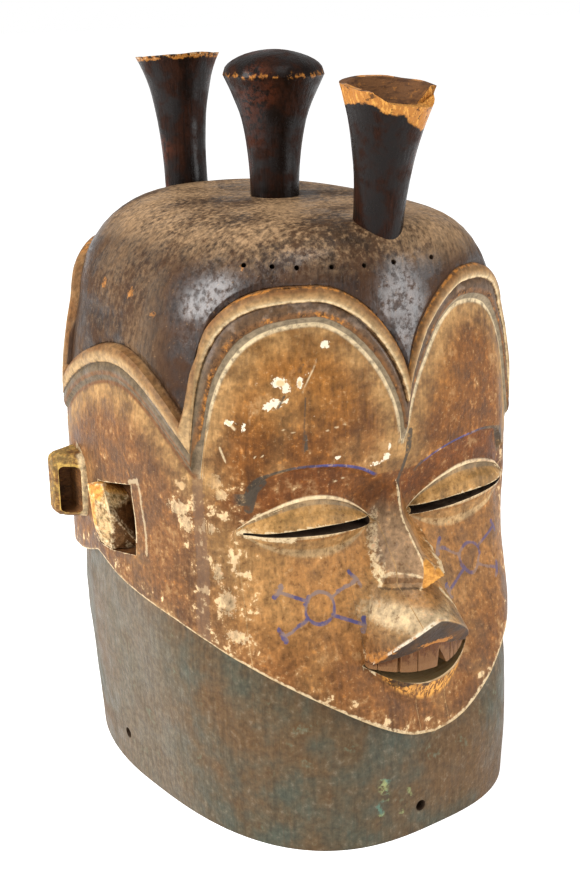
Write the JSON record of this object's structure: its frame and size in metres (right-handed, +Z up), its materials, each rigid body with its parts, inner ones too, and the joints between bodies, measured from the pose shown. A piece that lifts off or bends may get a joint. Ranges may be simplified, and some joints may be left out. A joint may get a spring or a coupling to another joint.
{
  "type": "janus helmet mask",
  "caption": "Carved wooden helmet mask with a face on the front and on the back, ears at the sides and posts on the crown; hollow and open below for the wearer's head.",
  "frame": {"origin": "centre of the bounding box at the underside of the rim, which the mask stands on", "axes": "+Z up through the crown, -Y the way the front face looks, +X to the right as the front face is seen"},
  "size_m": [0.292, 0.3488, 0.4645],
  "materials": {
    "carved_wood": "hand carved, painted with kaolin and dark pigment, worn and patinated"
  },
  "bodies": {
    "root": {"helmet_mask": "carved_wood"}
  },
  "joints": []
}
